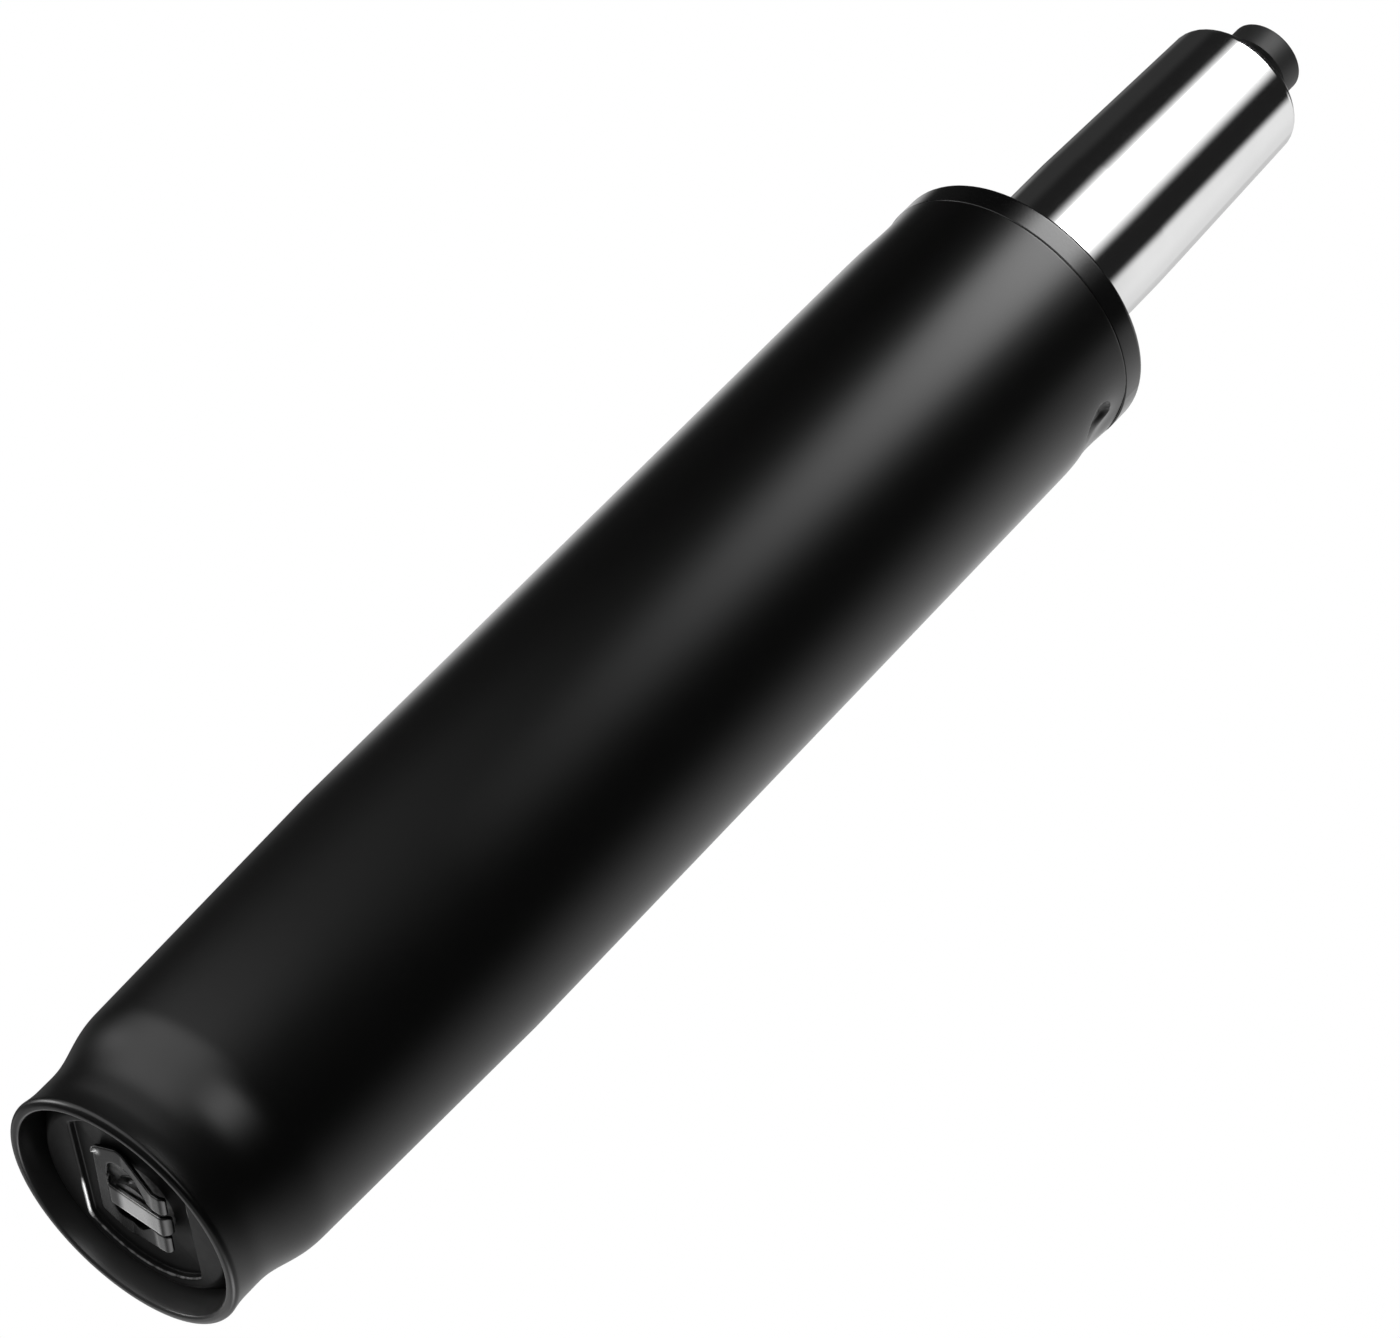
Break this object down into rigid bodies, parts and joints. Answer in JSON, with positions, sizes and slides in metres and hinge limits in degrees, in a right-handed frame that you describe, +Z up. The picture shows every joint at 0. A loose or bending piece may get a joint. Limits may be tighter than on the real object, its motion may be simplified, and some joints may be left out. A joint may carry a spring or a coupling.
{
  "type": "chair gas lift cylinder",
  "caption": "Upright gas lift for a swivel chair: black column with a tapered foot, chromed tapered upper tube that lifts and swivels, and a release button on top.",
  "frame": {"origin": "centre of the mouth rim at the lower end of the column", "axes": "+Z up the column axis, towards the release button; the two staking dents lie on +X and -X"},
  "size_m": [0.05, 0.05, 0.3043],
  "materials": {
    "column_paint": "satin black powder coat",
    "bush_plastic": "satin moulded plastic",
    "cup_steel": "dark phosphated steel",
    "bearing_steel": "ground",
    "cage_brass": "plain",
    "rod_steel": "hard chromed and ground",
    "clip_steel": "tempered spring steel",
    "zinc_steel": "zinc plated",
    "black_rubber": "matte",
    "piston_plastic": "plain",
    "tube_chrome": "bright chrome",
    "guide_brass": "turned",
    "valve_aluminium": "turned",
    "button_plastic": "satin moulded plastic"
  },
  "bodies": {
    "column": {"column_tube": "column_paint", "guide_bush": "bush_plastic", "bearing_cup": "cup_steel", "lower_race": "bearing_steel"},
    "bearing_cage": {"ball_cage": "cage_brass", "bearing_balls": "bearing_steel"},
    "rod": {"piston_rod": "rod_steel", "upper_race": "bearing_steel", "buffer_washer": "zinc_steel", "rubber_buffer": "black_rubber", "retaining_clip": "clip_steel", "piston": "piston_plastic", "piston_seal": "black_rubber", "piston_washer": "zinc_steel", "piston_nut": "zinc_steel"},
    "cylinder": {"pressure_tube": "tube_chrome", "liner_tube": "zinc_steel", "stop_tube": "piston_plastic", "rod_guide": "guide_brass", "rod_seal": "black_rubber", "seal_washer": "zinc_steel", "valve_body": "valve_aluminium", "valve_o_rings": "black_rubber", "pin_seal": "black_rubber"},
    "release": {"valve_pin": "zinc_steel", "release_button": "button_plastic"}
  },
  "joints": [
    {"name": "swivel", "type": "hinge", "parent": "column", "child": "rod", "pos_m": [0, 0, 0.013], "axis": [0, 0, 1], "continuous": true},
    {"name": "cage_roll", "type": "hinge", "parent": "column", "child": "bearing_cage", "pos_m": [0, 0, 0.013], "axis": [0, 0, 1], "continuous": true},
    {"name": "lift", "type": "slide", "parent": "rod", "child": "cylinder", "axis": [0, 0, 1], "range_m": [0, 0.1]},
    {"name": "release_press", "type": "slide", "parent": "cylinder", "child": "release", "axis": [0, 0, -1], "range_m": [0, 0.004], "stiffness_N_per_m": 2000}
  ],
  "couplings": [
    {"joint": "cage_roll", "follows": "swivel", "ratio": 0.5}
  ]
}
